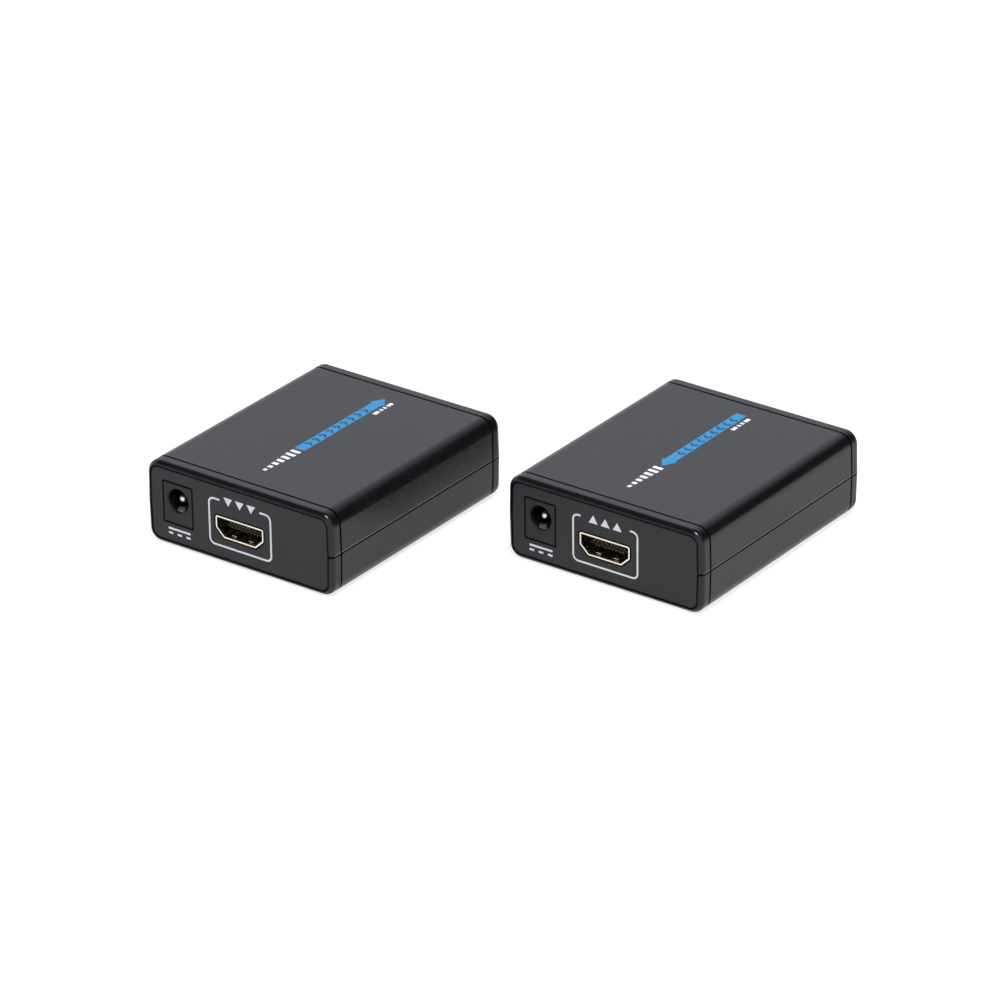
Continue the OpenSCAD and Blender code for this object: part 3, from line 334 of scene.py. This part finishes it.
def board_face(name):
    """Solder mask over copper: a net of tracks that shows as colour and relief."""
    n = Nodes(name)
    cells = n.node("ShaderNodeTexVoronoi", distance="MANHATTAN", feature="F2")
    cells.inputs["Scale"].default_value = 1 / (TRACK_PITCH * MM)
    n.link(n.stretched((1, 1, 0.02)), "Vector", cells, "Vector")
    tracks = n.ranged(cells, "Distance", 0, 1, *TRACK_EDGE)
    speck = n.noise(MASK_GRAIN, 2.0)
    n.color(n.mix(tracks, "Result", MASK_GREEN, TRACK_GREEN))
    n.link(n.ranged(speck, "Fac", *MASK_ROUGH), "Result", n.shader, "Roughness")
    n.bump(tracks, "Result", TRACK_RISE, 0.6)
    n.fixed(Coat_Weight=0.3)
    return n.mat


# Light guides: the size and the relief of their flow lines, their two tones and their roughness
FLOW_SIZE = 1.2
FLOW_DEPTH = 0.01
LAMP_GREEN = (0.42, 0.60, 0.30)
LAMP_MILK = (0.55, 0.72, 0.42)
LAMP_ROUGH = (0.22, 0.34)


def lamp_plastic(name):
    """Diffusing light guide: milky, with faint flow lines."""
    n = Nodes(name)
    flow = n.noise(FLOW_SIZE, 4.0, 0.6, (1, 0.2, 1))
    n.color(n.mix(n.ranged(flow, "Fac", 0, 1), "Result", LAMP_GREEN, LAMP_MILK))
    n.link(n.ranged(flow, "Fac", *LAMP_ROUGH), "Result", n.shader, "Roughness")
    n.bump(flow, "Fac", FLOW_DEPTH, 0.4)
    n.fixed(Transmission_Weight=0.35, Subsurface_Weight=0.1)
    return n.mat


CASE = moulded(
    "case_plastic", (0.0040, 0.0042, 0.0052), (0.0054, 0.0056, 0.0068),
    rough=0.27, grain=0.16, depth=0.004, edge=0.14, spec=0.46, edge_shade_reach=0.34, lip_highlight_gain=30,
)
PANEL = moulded(
    "panel_plastic", (0.0064, 0.0068, 0.0098), (0.0082, 0.0088, 0.0124),
    rough=0.42, grain=0.12, depth=0.010, edge=0.10, spec=0.44, edge_shade_reach=0.3,
)
SOCKET = moulded(
    "socket_plastic", (0.0070, 0.0070, 0.0078), (0.0090, 0.0090, 0.0100),
    rough=0.42, grain=0.20, depth=0.008, edge=0.06, spec=0.38, edge_shade_reach=0.3,
)
INSULATOR = moulded(
    "insulator_plastic", (0.0030, 0.0028, 0.0026), (0.0044, 0.0040, 0.0036),
    rough=0.5, grain=0.20, depth=0.006, edge=0.05, spec=0.22,
)
RESIN = moulded(
    "chip_resin", (0.012, 0.012, 0.0125), (0.018, 0.018, 0.019),
    rough=0.55, grain=0.07, depth=0.010, edge=0.05,
)
CERAMIC = moulded(
    "ceramic_body", (0.20, 0.12, 0.06), (0.34, 0.24, 0.14),
    rough=0.45, grain=0.25, depth=0.010, edge=0.05,
)
FERRITE = moulded(
    "ferrite_body", (0.045, 0.045, 0.05), (0.065, 0.065, 0.07),
    rough=0.6, grain=0.3, depth=0.03, edge=0.2,
)
STEEL = metal(
    "plated_steel", (0.55, 0.56, 0.58), (0.44, 0.45, 0.47),
    rough=0.30, grain=0.10, depth=0.002, stretch=(1, 0.08, 1),
)
SCREW = metal(
    "screw_zinc", (0.50, 0.51, 0.53), (0.36, 0.37, 0.39),
    rough=0.34, grain=0.15, depth=0.004,
)
NICKEL = metal(
    "nickel_plate", (0.95, 0.94, 0.91), (0.84, 0.83, 0.80),
    rough=0.30, grain=0.12, depth=0.001,
)
GOLD = metal(
    "gold_plate", (1.0, 0.86, 0.60), (0.92, 0.74, 0.46),
    rough=0.42, grain=0.12, depth=0.001, stretch=(1, 0.1, 1),
)
SPRING = metal(
    "spring_nickel", (0.86, 0.85, 0.82), (0.74, 0.73, 0.70),
    rough=0.32, grain=0.12, depth=0.001,
)
PALE_GOLD = metal(
    "pale_gold_plate", (1.0, 0.93, 0.78), (0.94, 0.83, 0.62),
    rough=0.18, grain=0.12, depth=0.001, stretch=(1, 0.1, 1),
)
CAN = metal(
    "can_aluminium", (0.66, 0.67, 0.69), (0.58, 0.59, 0.61),
    rough=0.28, grain=0.15, depth=0.002, stretch=(1, 1, 0.05),
)
BOARD = board_face("board_mask")
LAMP = lamp_plastic("lamp_guide")
WHITE_INK = ink("white_ink", (0.74, 0.75, 0.77), (0.54, 0.55, 0.57))
BLUE_INK = ink("blue_ink", (0.018, 0.225, 0.50), (0.014, 0.18, 0.40))
DARK_INK = ink("dark_ink", (0.006, 0.06, 0.12), (0.008, 0.08, 0.16))

NODE_MATERIALS = {
    "top_shell": CASE, "bottom_shell": CASE, "front_panel": PANEL, "rear_panel": PANEL,
    "case_screws": SCREW, "circuit_board": BOARD,
    "power_jack_housing": SOCKET, "power_jack_pin": NICKEL, "power_jack_terminals": NICKEL,
    "power_jack_spring": SPRING,
    "video_socket_shell": PALE_GOLD, "video_socket_insulator": INSULATOR, "video_socket_contacts": GOLD,
    "network_socket_shield": STEEL, "network_socket_housing": SOCKET, "network_socket_leads": GOLD,
    "network_socket_contacts": GOLD, "network_socket_lamps": LAMP,
    "link_chip": RESIN, "video_chip": RESIN, "memory_chip": RESIN, "crystal": STEEL,
    "voltage_regulator": RESIN, "power_inductor": FERRITE, "filter_capacitors": CAN, "small_parts": CERAMIC,
}

for unit in UNITS:
    for part, material in NODE_MATERIALS.items():
        node = bpy.data.objects[unit + "_" + part]
        for index in range(max(1, len(node.data.materials))):
            if index < len(node.data.materials):
                node.data.materials[index] = material
            else:
                node.data.materials.append(material)


# Network leads: the lower edge of each seat is eased, so that the wires that spring up clear it

# Height of the seats' lower edge, how much it is raised, and how far below it a point still counts as on it
SEAT_Z = 18.3
SEAT_EASE = 0.1
SEAT_SLACK = 0.01


def ease_leads(unit):
    """Puts in the place of the leads' node a copy whose seats end higher."""
    node = bpy.data.objects[unit + "_network_socket_leads"]
    piece = bpy.data.objects.new(unit + "_eased_leads", node.data.copy())
    piece.matrix_world = node.matrix_world
    back = piece.matrix_world.inverted()
    for v in piece.data.vertices:
        at = node.matrix_world @ v.co
        if (SEAT_Z - SEAT_SLACK) * MM < at.z < (SEAT_Z + SEAT_EASE) * MM:
            at.z = (SEAT_Z + SEAT_EASE) * MM
            v.co = back @ at
    bpy.context.scene.collection.objects.link(piece)
    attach(piece, unit)
    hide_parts(node.name)


for unit in UNITS:
    ease_leads(unit)


# Printed marks: thin films of ink on the faces that carry them

# Height of a film over its face, and its depth into it
FILM = 0.02


def film(name, outlines, place, material, body):
    """Outlines in millimetres become one raised film. place turns (x, y, height) into the part's frame."""
    bm = bmesh.new()
    for outline in outlines:
        low = [bm.verts.new(place(x, y, -FILM)) for x, y in outline]
        high = [bm.verts.new(place(x, y, FILM)) for x, y in outline]
        bm.faces.new(high)
        bm.faces.new(low[::-1])
        for i in range(len(outline)):
            j = (i + 1) % len(outline)
            bm.faces.new((low[i], low[j], high[j], high[i]))
    bmesh.ops.recalc_face_normals(bm, faces=bm.faces)
    mesh = bpy.data.meshes.new(name)
    bm.to_mesh(mesh)
    bm.free()
    mesh.materials.append(material)
    obj = bpy.data.objects.new(name, mesh)
    bpy.context.scene.collection.objects.link(obj)
    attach(obj, body)


def stroke(points, width):
    """A line of the given width along points, as one quad for each step."""
    last = len(points) - 1
    sides = []
    for i, p in enumerate(points):
        a, b = points[max(i - 1, 0)], points[min(i + 1, last)]
        dx, dy = b[0] - a[0], b[1] - a[1]
        size = math.hypot(dx, dy)
        nx, ny = -dy / size * width / 2, dx / size * width / 2
        sides.append(((p[0] + nx, p[1] + ny), (p[0] - nx, p[1] - ny)))
    return [[a, b, d, c] for (a, b), (c, d) in zip(sides, sides[1:])]


def arc(cx, cy, r, start, end, steps=8):
    """Points on an arc from one angle to another, in degrees."""
    return [
        (cx + r * math.cos(math.radians(start + (end - start) * i / steps)),
         cy + r * math.sin(math.radians(start + (end - start) * i / steps)))
        for i in range(steps + 1)
    ]


def bar(x0, y0, x1, y1):
    """The outline of a rectangle between two corners."""
    return [(x0, y0), (x1, y0), (x1, y1), (x0, y1)]


# Arrow band on top of each box, in the box's own millimetres
BAND_X = -0.45
BAND_W = 3.1
BAND_BACK = 26.0
BAND_FRONT = -9.6
HEAD_LEN = 3.5
HEAD_W = 4.6
CHEVRON_COUNT = 9
CHEVRON_PITCH = 2.9
CHEVRON_LINE = 0.8
CHEVRON_HALF = 1.1
CHEVRON_LEAN = 1.0

# White bars in front of the band, each a share of its width, and the row of dashes beside it
BARS_FROM = -10.6
BARS_STEP = 2.05
BARS_THICK = 1.15
BARS_SHARES = (0.92, 0.92, 0.80, 0.68, 0.56, 0.44, 0.32)
DASH_X = 2.6
DASH_W = 1.1
DASH_FROM = 17.2
DASH_LENGTHS = (2.0, 0.8, 0.8, 2.0)
DASH_SPACE = 0.7

# White frame round the video socket, on the panel
FRAME_X = 0.4
FRAME_Z = 11.06
FRAME_W = 19.35
FRAME_H = 12.67
FRAME_R = 1.5
FRAME_LINE = 0.52
FRAME_GAP = {"sender": 6.3, "receiver": 7.4}

# Triangles in the frame's gap
MARK_W = 2.7
MARK_H = 2.2
MARK_SPREAD = 3.6

# Direct-current sign under the power jack
SIGN_X = -19.1
SIGN_Z = 4.35
SIGN_W = 7.0
SIGN_LINE = 0.56
SIGN_STEP = 1.25


def top_marks(unit, place):
    """The arrow with its chevrons, the bars and the dashes.

    The arrow points back on the sender and forward on the receiver.
    """
    toward = 1 if unit == "sender" else -1
    tip, tail = (BAND_BACK, BAND_FRONT) if toward > 0 else (BAND_FRONT, BAND_BACK)
    neck = tip - toward * HEAD_LEN
    half, wide = BAND_W / 2, HEAD_W / 2
    film(unit + "_top_band", [[
        (BAND_X - half, tail), (BAND_X + half, tail), (BAND_X + half, neck), (BAND_X + wide, neck),
        (BAND_X, tip), (BAND_X - wide, neck), (BAND_X - half, neck),
    ]], place, BLUE_INK, unit)
    middle = (tail + neck) / 2
    chevrons = []
    for i in range(CHEVRON_COUNT):
        y = middle + (i - (CHEVRON_COUNT - 1) / 2) * CHEVRON_PITCH
        back = y - toward * CHEVRON_LEAN
        path = [(BAND_X - CHEVRON_HALF, back), (BAND_X, y), (BAND_X + CHEVRON_HALF, back)]
        chevrons += stroke(path, CHEVRON_LINE)
    film(unit + "_top_chevrons", chevrons, lambda x, y, h: place(x, y, h + FILM), DARK_INK, unit)
    bars = []
    for i, share in enumerate(BARS_SHARES):
        y = BARS_FROM - i * BARS_STEP
        bars.append(bar(BAND_X - half * share, y - BARS_THICK, BAND_X + half * share, y))
    film(unit + "_top_bars", bars, place, WHITE_INK, unit)
    dashes, y = [], DASH_FROM
    for length in DASH_LENGTHS if toward > 0 else DASH_LENGTHS[::-1]:
        dashes.append(bar(DASH_X - DASH_W / 2, y, DASH_X + DASH_W / 2, y + length))
        y += length + DASH_SPACE
    film(unit + "_top_dashes", dashes, place, WHITE_INK, unit)


def panel_marks(unit, place):
    """The frame and its triangles round the video socket, and the direct-current sign."""
    x0, x1 = FRAME_X - FRAME_W / 2, FRAME_X + FRAME_W / 2
    z0, z1 = FRAME_Z - FRAME_H / 2, FRAME_Z + FRAME_H / 2
    r, gap = FRAME_R, FRAME_GAP[unit]
    path = [(FRAME_X - gap, z1)]
    path += arc(x0 + r, z1 - r, r, 90, 180)
    path += arc(x0 + r, z0 + r, r, 180, 270)
    path += arc(x1 - r, z0 + r, r, 270, 360)
    path += arc(x1 - r, z1 - r, r, 0, 90)
    path += [(FRAME_X + gap, z1)]
    film(unit + "_panel_frame", stroke(path, FRAME_LINE), place, WHITE_INK, unit)
    # Three triangles: into the socket on the sender, out of it on the receiver
    way = -1 if unit == "sender" else 1
    base, tip = z1 - way * MARK_H / 2, z1 + way * MARK_H / 2
    marks = [
        [(x - MARK_W / 2, base), (x + MARK_W / 2, base), (x, tip)]
        for x in (FRAME_X - MARK_SPREAD, FRAME_X, FRAME_X + MARK_SPREAD)
    ]
    film(unit + "_panel_way_marks", marks, place, WHITE_INK, unit)
    # One line over three dashes, each a fifth of its length
    left = SIGN_X - SIGN_W / 2
    rows = [(left, SIGN_W, SIGN_Z + SIGN_STEP / 2)]
    rows += [(left + i * SIGN_W / 5, SIGN_W / 5, SIGN_Z - SIGN_STEP / 2) for i in (0, 2, 4)]
    sign = [bar(x, z - SIGN_LINE / 2, x + length, z + SIGN_LINE / 2) for x, length, z in rows]
    film(unit + "_panel_power_sign", sign, place, WHITE_INK, unit)


def on_top(cx, cy, top):
    """Turns x and y from a box's middle, and a height over its top, into the part's frame."""
    return lambda x, y, h: (cx + x * MM, cy + y * MM, top + h * MM)


def on_panel(cx, front):
    """Turns x from a box's middle, z from the table and a height over its panel into the part's frame."""
    return lambda x, z, h: (cx + x * MM, front - h * MM, z * MM)


for unit in UNITS:
    shell_lo, shell_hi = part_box(unit + "_top_shell")
    panel_lo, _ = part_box(unit + "_front_panel")
    middle_x = (shell_lo[0] + shell_hi[0]) / 2
    middle_y = (shell_lo[1] + shell_hi[1]) / 2
    top_marks(unit, on_top(middle_x, middle_y, shell_hi[2]))
    panel_marks(unit, on_panel(middle_x, panel_lo[1]))


# Floor, backdrop and light

class Tree:
    """Short calls for the floor's and the world's nodes."""

    def __init__(self, owner):
        owner.use_nodes = True
        self.nodes = owner.node_tree.nodes
        self.links = owner.node_tree.links
        self.nodes.clear()

    def add(self, kind, inputs=(), **values):
        """A node whose inputs are each a number, a colour or another node's output."""
        n = self.nodes.new(kind)
        for key, value in values.items():
            setattr(n, key, value)
        for socket, value in inputs:
            if isinstance(value, bpy.types.NodeSocket):
                self.links.new(value, n.inputs[socket])
            else:
                n.inputs[socket].default_value = value
        return n

    def math(self, operation, a, b):
        return self.add("ShaderNodeMath", ((0, a), (1, b)), operation=operation).outputs[0]

    def step(self, value, start, end, low, high):
        """A soft step from low to high as the value goes from start to end."""
        return self.add("ShaderNodeMapRange", (
            ("Value", value), ("From Min", start), ("From Max", end), ("To Min", low), ("To Max", high),
        ), interpolation_type="SMOOTHSTEP").outputs["Result"]

    def seen(self, path, *kinds):
        """1 for the given kinds of ray, else 0."""
        value = path.outputs[kinds[0]]
        for kind in kinds[1:]:
            value = self.math("MAXIMUM", value, path.outputs[kind])
        return value


# Floor: its tone, its glow as seen and as mirrored, its half side in metres and its drop below the part
FLOOR_TONE = (0.42, 0.42, 0.42, 1)
FLOOR_GLOW = 0.74
FLOOR_MIRRORED = 0.45
FLOOR_HALF = 6.0
FLOOR_DROP = 0.05

# Light from the backdrop: its levels where it is mirrored, and its level for matt surfaces
GLOW_HIGH = 0.98
GLOW_LOW = 0.02
GLOW_TINT = (0.95, 0.98, 1.06, 1)
SOFT_TINT = (0.98, 0.99, 1.02, 1)
SOFT_LEVEL = 0.62
CLEAR_WHITE = (1, 1, 1, 1)

# The way to the backdrop's dark side, and the cosines from that way between which it goes dark
DARK_SIDE = (0.67, 0.74, 0.0)
DARK_STEP = (0.50, 0.80)

# In front, opposite that side: the cosines between which it dims, its share of light, and how much it sinks
FRONT_STEP = (0.40, 0.76)
FRONT_SHARE = 0.85
FRONT_LOWER = 0.22

# The heights between which the backdrop ends, as sines
TOP_STEP = (0.65, 0.78)


def make_floor():
    mat = bpy.data.materials.new("studio_floor")
    tree = Tree(mat)
    path = tree.add("ShaderNodeLightPath")
    direct = tree.math("MULTIPLY", tree.seen(path, "Is Camera Ray", "Is Transmission Ray"), FLOOR_GLOW)
    mirrored = tree.math("MULTIPLY", tree.seen(path, "Is Glossy Ray"), FLOOR_MIRRORED)
    level = tree.math("MAXIMUM", direct, mirrored)
    glow = tree.add("ShaderNodeEmission", (("Strength", level),))
    diffuse = tree.add("ShaderNodeBsdfDiffuse", (("Color", FLOOR_TONE),))
    both = tree.add("ShaderNodeAddShader", ((0, diffuse.outputs[0]), (1, glow.outputs[0])))
    tree.add("ShaderNodeOutputMaterial", (("Surface", both.outputs[0]),))
    mesh = bpy.data.meshes.new("studio_floor")
    s = FLOOR_HALF
    mesh.from_pydata([(-s, -s, 0), (s, -s, 0), (s, s, 0), (-s, s, 0)], [], [(0, 1, 2, 3)])
    mesh.materials.append(mat)
    floor = bpy.data.objects.new("studio_floor", mesh)
    floor.location.z = -FLOOR_DROP * MM
    bpy.context.scene.collection.objects.link(floor)


def make_world():
    """White where the camera looks. Mirrored, it is bright up to its top, but for one dark side."""
    world = bpy.data.worlds.new("studio")
    bpy.context.scene.world = world
    tree = Tree(world)
    path = tree.add("ShaderNodeLightPath")
    way = tree.add("ShaderNodeTexCoord").outputs["Generated"]
    rise = tree.add("ShaderNodeSeparateXYZ", ((0, way),)).outputs["Z"]
    dot = tree.add("ShaderNodeVectorMath", ((0, way), (1, DARK_SIDE)), operation="DOT_PRODUCT")
    aside = dot.outputs["Value"]
    # Towards the front the backdrop is lower and dimmer
    ahead = tree.math("MAXIMUM", tree.math("MULTIPLY", aside, -1.0), 0.0)
    height = tree.math("MULTIPLY_ADD", ahead, FRONT_LOWER)
    tree.links.new(rise, height.node.inputs[2])
    not_dark = tree.step(aside, *DARK_STEP, 1.0, 0.0)
    dimmed = tree.step(ahead, *FRONT_STEP, 1.0, FRONT_SHARE)
    below_top = tree.step(height, *TOP_STEP, 1.0, 0.0)
    lit = tree.math("MULTIPLY", below_top, tree.math("MULTIPLY", not_dark, dimmed))
    level = tree.add("ShaderNodeMapRange", (
        ("Value", lit), ("From Min", 0.0), ("From Max", 1.0), ("To Min", GLOW_LOW), ("To Max", GLOW_HIGH),
    )).outputs["Result"]
    mirrored = tree.add("ShaderNodeBackground", (("Color", GLOW_TINT), ("Strength", level)))
    soft = tree.add("ShaderNodeBackground", (("Color", SOFT_TINT), ("Strength", SOFT_LEVEL)))
    white = tree.add("ShaderNodeBackground", (("Color", CLEAR_WHITE), ("Strength", 1.0)))
    glossy = tree.seen(path, "Is Glossy Ray")
    around = tree.add("ShaderNodeMixShader", ((0, glossy), (1, soft.outputs[0]), (2, mirrored.outputs[0])))
    direct = tree.seen(path, "Is Camera Ray", "Is Transmission Ray")
    whole = tree.add("ShaderNodeMixShader", ((0, direct), (1, around.outputs[0]), (2, white.outputs[0])))
    tree.add("ShaderNodeOutputWorld", (("Surface", whole.outputs[0]),))


# What the lamps point at, in metres as their places are
LAMP_AIM = Vector((0, 0, 0.01))


def area(name, place, size, watts, mirrored=True):
    """A square lamp that points at the part."""
    data = bpy.data.lights.new(name, "AREA")
    data.shape = "RECTANGLE"
    data.size, data.size_y = size, size
    data.energy = watts
    lamp = bpy.data.objects.new(name, data)
    lamp.location = place
    lamp.rotation_mode = "QUATERNION"
    lamp.rotation_quaternion = (Vector(place) - LAMP_AIM).to_track_quat("Z", "Y")
    lamp.visible_glossy = mirrored
    bpy.context.scene.collection.objects.link(lamp)


make_floor()
make_world()
area("top_light", place=(0.34, -0.26, 1.3), size=0.25, watts=12.0)
area("rear_light", place=(0.9, 1.5, 0.8), size=0.7, watts=6.0, mirrored=False)
area("front_light", place=(-0.9, -1.5, 0.9), size=0.7, watts=9.0, mirrored=False)

bpy.context.scene.view_settings.view_transform = "Standard"
